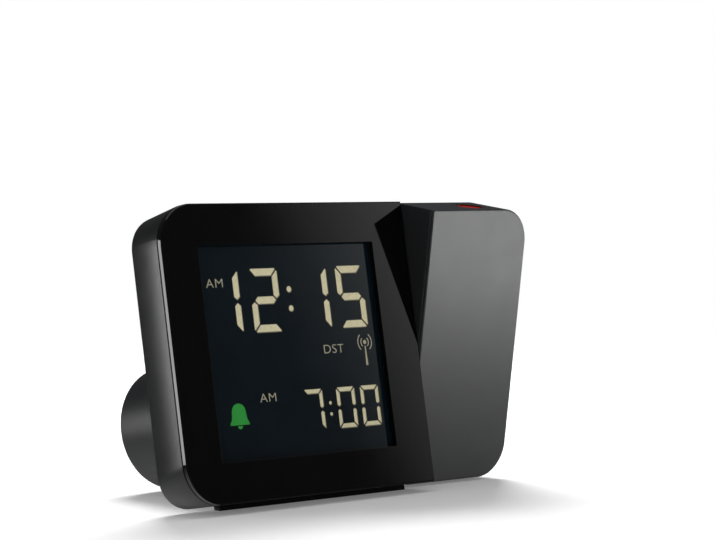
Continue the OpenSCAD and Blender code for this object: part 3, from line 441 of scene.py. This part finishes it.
def displayGlass(name, look):
    # front polariser on a dark panel: faint navy clouds under a low-glare face
    material, tree = newMaterial(name)
    place = addNode(tree, "ShaderNodeTexCoord").outputs["Object"]
    cloud = addNode(tree, "ShaderNodeTexNoise", {"Scale": 1 / (look["cloud"] * mm), "Detail": 2.0},
                    {"Vector": place})
    matte = addNode(tree, "ShaderNodeTexNoise", {"Scale": 1 / (look["grain"] * mm), "Detail": 2.0},
                    {"Vector": place})
    tone = twoTones(tree, cloud.outputs["Fac"], toneSpan, look["dark"], look["light"])
    rough = addNode(tree, "ShaderNodeMapRange", {"To Min": look["rough"][0], "To Max": look["rough"][1]},
                    {"Value": cloud.outputs["Fac"]})
    bump = addNode(tree, "ShaderNodeBump", {"Strength": 1.0, "Distance": look["relief"] * mm},
                   {"Height": matte.outputs["Fac"]})
    shader = addNode(tree, "ShaderNodeBsdfPrincipled", {"IOR": 1.5},
                     {"Base Color": tone, "Roughness": rough.outputs["Result"],
                      "Normal": bump.outputs["Normal"]})
    finishWith(tree, shader)
    return material


# crystal lit from behind: cream figures with a grainy glow
segmentLook = {"colour": "#d8d0ab", "edge": "#8f8a6c", "glowing": 0.22}
# the same light through thin print: dimmer and greyer
printLook = {"colour": "#b9b499", "edge": "#8f8a6c", "glowing": 0.09}
# behind a green filter
bellLook = {"colour": "#1f9a33", "edge": "#227a30", "glowing": 0.16}
# the darker rim at each figure's right and bottom: painted shade that makes each figure look raised
shadeLook = {"colour": "#77725a", "edge": "#4a4736", "glowing": 0.03}
litGrain = {"size": 0.35, "span": (0.1, 0.5), "relief": 0.002, "rough": (0.3, 0.5)}


def litSegment(name, look):
    # a segment of the crystal lit from behind, with a grainy diffuser
    material, tree = newMaterial(name)
    place = addNode(tree, "ShaderNodeTexCoord").outputs["Object"]
    grain = addNode(tree, "ShaderNodeTexNoise", {"Scale": 1 / (litGrain["size"] * mm), "Detail": 3.0},
                    {"Vector": place})
    tone = twoTones(tree, grain.outputs["Fac"], litGrain["span"], look["edge"], look["colour"])
    rough = addNode(tree, "ShaderNodeMapRange",
                    {"To Min": litGrain["rough"][0], "To Max": litGrain["rough"][1]},
                    {"Value": grain.outputs["Fac"]})
    bump = addNode(tree, "ShaderNodeBump", {"Strength": 1.0, "Distance": litGrain["relief"] * mm},
                   {"Height": grain.outputs["Fac"]})
    shader = addNode(tree, "ShaderNodeBsdfPrincipled", {"Emission Strength": look["glowing"]},
                     {"Base Color": tone, "Emission Color": tone,
                      "Roughness": rough.outputs["Result"], "Normal": bump.outputs["Normal"]})
    finishWith(tree, shader)
    return material


dress(displayGlass("displayGlass", displayLook), ["display_glass"])
segmentMaterial = litSegment("litSegment", segmentLook)
wordMaterial = litSegment("litPrint", printLook)
greenMaterial = litSegment("litGreenSegment", bellLook)
shadeMaterial = litSegment("segmentShade", shadeLook)


def loopArea(loop):
    # twice the signed area of a loop of (x, u)
    return np.sum(loop[:, 0] * np.roll(loop[:, 1], -1) - np.roll(loop[:, 0], -1) * loop[:, 1])


def platePiece(name, outlines, front, material, thick):
    # flat plates that stand thick mm high on the depth plane front; outlines are loops of (x, u) in mm
    points, faces = [], []
    for loop in outlines:
        loop = np.asarray(loop, float)
        loop = loop if loopArea(loop) > 0 else loop[::-1]
        count, base = len(loop), sum(len(p) for p in points)
        points += [onClock(loop[:, 0], np.full(count, front - thick), loop[:, 1]),
                   onClock(loop[:, 0], np.full(count, front), loop[:, 1])]
        ring = np.arange(count)
        ahead = (ring + 1) % count
        faces.append(list(base + ring))
        faces.append(list(base + count + ring[::-1]))
        sides = (base + ring, base + count + ring, base + count + ahead, base + ahead)
        faces += np.stack(sides, axis=1).tolist()
    mesh = bpy.data.meshes.new(name)
    mesh.from_pydata(np.concatenate(points).tolist(), [], faces)
    mesh.validate()
    mesh.materials.append(material)
    piece = bpy.data.objects.new(name, mesh)
    bpy.context.scene.collection.objects.link(piece)
    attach(piece, "clock_body")
    return piece


def segmentLoops(right, lit, look):
    # the lit strokes of one figure: bars mitred where they meet, with the outer corners chipped
    low, high, stroke, chip = look["low"], look["high"], look["stroke"], look["chip"]
    left, middle = right - look["width"], (low + high) / 2
    half, cut, gap = stroke / 2, chip / 2, look["gap"] / 2
    # how far from the middle the uprights end, at their outer corner and at their point
    tip, point = half * 0.9, gap * 1.6
    shapes = {
        "a": [(left + chip, high), (right - chip, high), (right - cut - gap, high - cut),
              (right - stroke - gap / 2, high - stroke), (left + stroke + gap / 2, high - stroke),
              (left + cut + gap, high - cut)],
        "d": [(left + chip, low), (left + cut + gap, low + cut), (left + stroke + gap / 2, low + stroke),
              (right - stroke - gap / 2, low + stroke), (right - cut - gap, low + cut),
              (right - chip, low)],
        "g": [(left + half + gap, middle), (left + stroke + gap, middle + half),
              (right - stroke - gap, middle + half), (right - half - gap, middle),
              (right - stroke - gap, middle - half), (left + stroke + gap, middle - half)],
        "b": [(right, high - chip), (right, middle + tip + gap), (right - half, middle + point),
              (right - stroke, middle + half + gap / 2), (right - stroke, high - stroke - gap),
              (right - cut, high - cut - gap)],
        "c": [(right, low + chip), (right - cut, low + cut + gap), (right - stroke, low + stroke + gap),
              (right - stroke, middle - half - gap / 2), (right - half, middle - point),
              (right, middle - tip - gap)],
    }
    shapes["f"] = [(left + right - x, u) for x, u in shapes["b"]]
    shapes["e"] = [(left + right - x, u) for x, u in shapes["c"]]
    return [shapes[k] for k in lit]


def discLoop(x, u, r, count=28):
    # a circle of radius r round (x, u)
    turn = np.linspace(0, 2 * math.pi, count, endpoint=False)
    return np.stack((x + r * np.cos(turn), u + r * np.sin(turn)), axis=1)


def arcLoop(x, u, r, wide, start, end, count=18):
    # a stroke wide mm across along an arc of radius r, from start to end in degrees
    turn = np.radians(np.linspace(start, end, count))
    rims = []
    for radius, way in ((r + wide / 2, turn), (r - wide / 2, turn[::-1])):
        rims.append(np.stack((x + radius * np.cos(way), u + radius * np.sin(way)), axis=1))
    return np.concatenate(rims)


def insetLoop(loop, by, shift):
    # a convex loop drawn in by a distance and shifted, for the bright core of a figure whose darker rim is
    # painted shade
    loop = np.asarray(loop, float)
    along = np.roll(loop, -1, axis=0) - loop
    inward = np.stack((-along[:, 1], along[:, 0]), axis=1)
    inward = inward * np.sign(loopArea(loop)) / np.linalg.norm(along, axis=1)[:, None]
    both = inward + np.roll(inward, 1, axis=0)
    return loop + both * (2 * by / np.sum(both * both, axis=1))[:, None] + shift


# places and sizes in mm on the clock's face
displayFigures = {
    "front": 1.9,           # the glass's face
    "time": {
        "low": 46.95, "high": 65.4, "width": 11.0, "stroke": 2.35, "gap": 0.4, "chip": 0.9,
        "figures": [(28.2, "bc"), (43.2, "abged"), (62.4, "bc"), (76.9, "afgcd")],
        "dots": [(47.05, 59.05), (47.1, 53.5)], "dot": 1.0,
    },
    "alarm": {
        "low": 17.95, "high": 30.0, "width": 7.5, "stroke": 1.5, "gap": 0.32, "chip": 0.6,
        "figures": [(55.3, "abc"), (68.1, "abcdef"), (77.7, "abcdef")],
        "dots": [(57.95, 25.6), (57.9, 22.4)], "dot": 0.62,
    },
    "mast": {
        "top": (74.45, 42.65), "foot": 35.85, "dot": 0.62, "rings": (1.5, 2.75), "ringWidth": 0.32,
        "spread": 52, "neck": 1.1, "neckHalf": 0.2, "footHalf": 0.42,
    },
    "bell": {
        "crown": (22.6, 27.6),
        # its side: half widths down from the crown
        "side": [(0.0, 0.0), (0.9, -0.15), (1.75, -0.6), (2.35, -1.4), (2.6, -2.4), (2.7, -3.6),
                 (2.95, -4.7), (3.55, -5.55), (3.55, -6.1)],
        "clapperDrop": 6.35, "clapper": 0.45,
    },
    # each word's left, right, low and high
    "words": [("AM", 16.0, 22.2, 60.4, 62.8), ("AM", 31.1, 37.2, 27.4, 29.8),
              ("DST", 57.9, 65.7, 40.0, 42.5)],
    "thick": 0.03, "shadeThick": 0.02, "lift": 0.03, "wordLift": 0.05,
}
shape = displayFigures
timeLoops, alarmLoops = [], []
for group, loops in (("time", timeLoops), ("alarm", alarmLoops)):
    for right, lit in shape[group]["figures"]:
        loops += segmentLoops(right, lit, shape[group])
    loops += [discLoop(x, u, shape[group]["dot"]) for x, u in shape[group]["dots"]]
mast = shape["mast"]
mastX, mastU = mast["top"]
mastLoops = [discLoop(mastX, mastU, mast["dot"])]
mastLoops += [arcLoop(mastX, mastU, r, mast["ringWidth"], side - mast["spread"], side + mast["spread"])
              for r in mast["rings"] for side in (0, 180)]
neckU = mastU - mast["neck"]
mastLoops.append([(mastX - mast["neckHalf"], neckU), (mastX - mast["footHalf"], mast["foot"]),
                  (mastX + mast["footHalf"], mast["foot"]), (mastX + mast["neckHalf"], neckU)])
bell = shape["bell"]
bellX, bellTop = bell["crown"]
bellSide = np.array(bell["side"])
bellLoop = np.concatenate((bellSide[::-1], bellSide[1:] * (-1, 1))) + (bellX, bellTop)
clapperLoop = arcLoop(bellX, bellTop - bell["clapperDrop"], bell["clapper"], bell["clapper"] * 2, 180, 360)
front, thick, lift = shape["front"], shape["thick"], shape["lift"]
# painted shade: the bright cores are drawn in and shifted up and to the left, so the mid-tone plates behind
# show as a darker rim at each figure's right and bottom
paintedRelief = {"by": 0.17, "shift": (-0.11, 0.09)}
platePiece("time_figures", [insetLoop(loop, **paintedRelief) for loop in timeLoops],
                   front - lift, segmentMaterial, thick)
platePiece("alarm_figures", [insetLoop(loop, **paintedRelief) for loop in alarmLoops],
                   front - lift, segmentMaterial, thick)
platePiece("radio_mast_sign", mastLoops, front - lift, wordMaterial, thick)
platePiece("alarm_bell_sign", [bellLoop, clapperLoop], front - lift, greenMaterial, thick)
# the mid-tone plates whose uncovered rims are the painted shade
platePiece("figure_shades", timeLoops + alarmLoops, front, shadeMaterial, shape["shadeThick"])

lettering = {"spacing": 1.08, "thinned": -0.012}


def wordPiece(name, words, material, front, thick):
    # short words as flat plates, each stretched to its own box on the face
    points, faces = [], []
    for text, left, right, low, high in words:
        curve = bpy.data.curves.new(text, "FONT")
        curve.body = text
        curve.space_character = lettering["spacing"]
        curve.offset = lettering["thinned"]
        flat = bpy.data.objects.new(text, curve)
        bpy.context.scene.collection.objects.link(flat)
        bpy.context.view_layer.update()
        mesh = flat.evaluated_get(bpy.context.evaluated_depsgraph_get()).to_mesh()
        co = np.zeros(len(mesh.vertices) * 3)
        mesh.vertices.foreach_get("co", co)
        co = co.reshape(-1, 3)
        base = sum(len(p) for p in points)
        faces += [[base + v for v in poly.vertices] for poly in mesh.polygons]
        span = co.max(0) - co.min(0)
        x = left + (co[:, 0] - co[:, 0].min()) / span[0] * (right - left)
        u = low + (co[:, 1] - co[:, 1].min()) / span[1] * (high - low)
        points.append(onClock(x, np.full(len(x), front), u))
        flat.to_mesh_clear()
        bpy.data.objects.remove(flat)
    mesh = bpy.data.meshes.new(name)
    mesh.from_pydata(np.concatenate(points).tolist(), [], faces)
    mesh.materials.append(material)
    piece = bpy.data.objects.new(name, mesh)
    bpy.context.scene.collection.objects.link(piece)
    solid = piece.modifiers.new("thickness", "SOLIDIFY")
    solid.thickness = thick * mm
    solid.offset = -1
    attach(piece, "clock_body")
    return piece


wordPiece("display_words", shape["words"], wordMaterial, front - shape["wordLift"], thick)
print("display done")

softenShading(["front_bezel", "rear_case", "drum_housing", "battery_cap", "head_cover", "head_shell",
               "lens_surround", "lens_window", "snooze_bar", "set_button", "mode_button", "plus_button",
               "minus_button", "alarm_switch", "flip_button", "focus_wheel", "power_inlet", "case_screws",
               "head_screws", "pivot_tube", "pivot_bush"])

# ---- studio

# a pale table that turns to plain white away from the clock
table = {"tone": 0.92, "speck": 0.01, "specks": 400.0, "glow": 0.14, "fade": (0.25, 0.8), "half": 6}

floorMaterial, tree = newMaterial("paleFloor")
place = addNode(tree, "ShaderNodeTexCoord").outputs["Object"]
ray = addNode(tree, "ShaderNodeLightPath")
distance = addNode(tree, "ShaderNodeVectorMath", links={0: place}, operation="LENGTH")
far = addNode(tree, "ShaderNodeMapRange", {"From Min": table["fade"][0], "From Max": table["fade"][1]},
              {"Value": distance.outputs["Value"]})
speck = addNode(tree, "ShaderNodeTexNoise", {"Scale": table["specks"]}, {"Vector": place})
tone = addNode(tree, "ShaderNodeMapRange",
               {"To Min": table["tone"] - table["speck"], "To Max": table["tone"] + table["speck"]},
               {"Value": speck.outputs["Fac"]})
plain = addNode(tree, "ShaderNodeBsdfDiffuse", links={"Color": tone.outputs["Result"]})
seen = addNode(tree, "ShaderNodeMath", {1: table["glow"]}, {0: ray.outputs["Is Camera Ray"]},
               operation="MULTIPLY")
glow = addNode(tree, "ShaderNodeEmission", {"Color": (1, 1, 1, 1)}, {"Strength": seen.outputs[0]})
both = addNode(tree, "ShaderNodeAddShader", links={0: plain.outputs[0], 1: glow.outputs[0]})
white = addNode(tree, "ShaderNodeEmission", {"Color": (1, 1, 1, 1), "Strength": 1.0})
mixed = addNode(tree, "ShaderNodeMixShader",
                links={0: far.outputs["Result"], 1: both.outputs[0], 2: white.outputs[0]})
finishWith(tree, mixed)
half = table["half"]
floorMesh = bpy.data.meshes.new("floor")
floorMesh.from_pydata([(-half, -half, 0), (half, -half, 0), (half, half, 0), (-half, half, 0)], [],
                      [(0, 1, 2, 3)])
floorMesh.materials.append(floorMaterial)
floor = bpy.data.objects.new("floor", floorMesh)
bpy.context.scene.collection.objects.link(floor)
floor.visible_glossy = False

# what the gloss sees: a dim room, a graded card to the front right, the pale table low on the left
room = {
    "grey": 0.28, "gloss": 0.06,
    "cardWay": (0.735, 0.678, 0.0), "cardSlope": 15.25, "cardRise": 3.48,
    "cardFrom": (1.01, 1.81), "cardTo": (0.05, 0.85),
    "cardPlace": (0.55, -0.82, 0.12), "cardEdge": (0.80, 0.92),
    "tableWay": (-0.7, 0.7, 0.0), "tableSpread": 0.4, "tableDip": (-0.15, -0.55), "tableShine": 0.6,
}
world = bpy.data.worlds.new("studio")
bpy.context.scene.world = world
world.use_nodes = True
tree = world.node_tree
tree.nodes.clear()
ray = addNode(tree, "ShaderNodeLightPath")
direction = addNode(tree, "ShaderNodeTexCoord").outputs["Generated"]
height = addNode(tree, "ShaderNodeSeparateXYZ", links={0: direction})
# the card gives the gloss its fall from right to left
across = addNode(tree, "ShaderNodeVectorMath", {1: room["cardWay"]}, {0: direction},
                 operation="DOT_PRODUCT")
slope = addNode(tree, "ShaderNodeMath", {1: room["cardSlope"]}, {0: across.outputs["Value"]},
                operation="MULTIPLY")
rise = addNode(tree, "ShaderNodeMath", {1: room["cardRise"]}, {0: height.outputs["Z"]},
               operation="MULTIPLY")
total = addNode(tree, "ShaderNodeMath", links={0: slope.outputs[0], 1: rise.outputs[0]}, operation="ADD")
card = addNode(tree, "ShaderNodeMapRange",
               {"From Min": room["cardFrom"][0], "From Max": room["cardFrom"][1],
                "To Min": room["cardTo"][0], "To Max": room["cardTo"][1]},
               {"Value": total.outputs[0]})
nearCard = addNode(tree, "ShaderNodeVectorMath", {1: room["cardPlace"]}, {0: direction},
                   operation="DOT_PRODUCT")
mask = addNode(tree, "ShaderNodeMapRange",
               {"From Min": room["cardEdge"][0], "From Max": room["cardEdge"][1]},
               {"Value": nearCard.outputs["Value"]}, interpolation_type="SMOOTHSTEP")
glossy = addNode(tree, "ShaderNodeMix", {2: room["gloss"]},
                 {0: mask.outputs["Result"], 3: card.outputs["Result"]}, data_type="FLOAT")
# the table, mirrored low in the case's left side and the drum
leftBack = addNode(tree, "ShaderNodeVectorMath", {1: room["tableWay"]}, {0: direction},
                   operation="DOT_PRODUCT")
leftward = addNode(tree, "ShaderNodeMapRange", {"From Min": 0.0, "From Max": room["tableSpread"]},
                   {"Value": leftBack.outputs["Value"]})
below = addNode(tree, "ShaderNodeMapRange",
                {"From Min": room["tableDip"][0], "From Max": room["tableDip"][1],
                 "To Max": room["tableShine"]}, {"Value": height.outputs["Z"]})
shine = addNode(tree, "ShaderNodeMath", links={0: leftward.outputs["Result"], 1: below.outputs["Result"]},
                operation="MULTIPLY")
mirrored = addNode(tree, "ShaderNodeMath", links={0: glossy.outputs[0], 1: shine.outputs[0]},
                   operation="ADD")
# the camera and clear parts see white, diffuse light is grey
level = addNode(tree, "ShaderNodeMix", {2: room["grey"]},
                {0: ray.outputs["Is Glossy Ray"], 3: mirrored.outputs[0]}, data_type="FLOAT")
seenWhite = addNode(tree, "ShaderNodeMath", operation="MAXIMUM",
                    links={0: ray.outputs["Is Camera Ray"], 1: ray.outputs["Is Transmission Ray"]})
strength = addNode(tree, "ShaderNodeMix", {3: 1.0}, {0: seenWhite.outputs[0], 2: level.outputs[0]},
                   data_type="FLOAT")
sky = addNode(tree, "ShaderNodeBackground", {"Color": (1, 1, 1, 1)}, {"Strength": strength.outputs[0]})
addNode(tree, "ShaderNodeOutputWorld", links={"Surface": sky.outputs[0]})

# places, aims and sizes in metres, power in watts; gloss: whether shiny pieces mirror the lamp
lamps = {
    "overhead": {"place": (0.1, -0.05, 1.1), "aim": (0, 0, 0.04), "size": (0.9, 0.9), "power": 2.2,
                 "gloss": True},
    "behind": {"place": (0.42, 0.47, 0.85), "aim": (0, 0, 0), "size": (0.5, 0.4), "power": 11.5,
               "gloss": False},
    "leftSide": {"place": (-0.425, 0.275, 0.06), "aim": (-0.07, 0, 0.05), "size": (0.28, 0.2), "power": 1.0,
                 "gloss": True},
    "headFront": {"place": (0.245, -0.24, 0.02), "aim": (0.05, -0.02, 0.05), "size": (0.16, 0.03),
                  "power": 0.31, "gloss": True},
}
for name, look in lamps.items():
    data = bpy.data.lights.new(name, "AREA")
    data.shape = "RECTANGLE"
    data.size, data.size_y = look["size"]
    data.energy = look["power"]
    lamp = bpy.data.objects.new(name, data)
    lamp.location = look["place"]
    lamp.visible_glossy = look["gloss"]
    aim = np.array(look["aim"]) - np.array(look["place"])
    lamp.rotation_euler = (math.acos(-aim[2] / np.linalg.norm(aim)), 0, math.atan2(-aim[0], aim[1]))
    bpy.context.scene.collection.objects.link(lamp)
# the low card lights the head alone and isn't mirrored in the glossy front
headOnly = bpy.data.collections.new("headOnly")
for name in ("head_cover", "head_shell", "head_screws", "lens_surround", "focus_wheel", "flip_button"):
    headOnly.objects.link(nodes[name])
bpy.data.objects["headFront"].light_linking.receiver_collection = headOnly
bpy.context.scene.view_settings.view_transform = "Standard"
print("studio done")
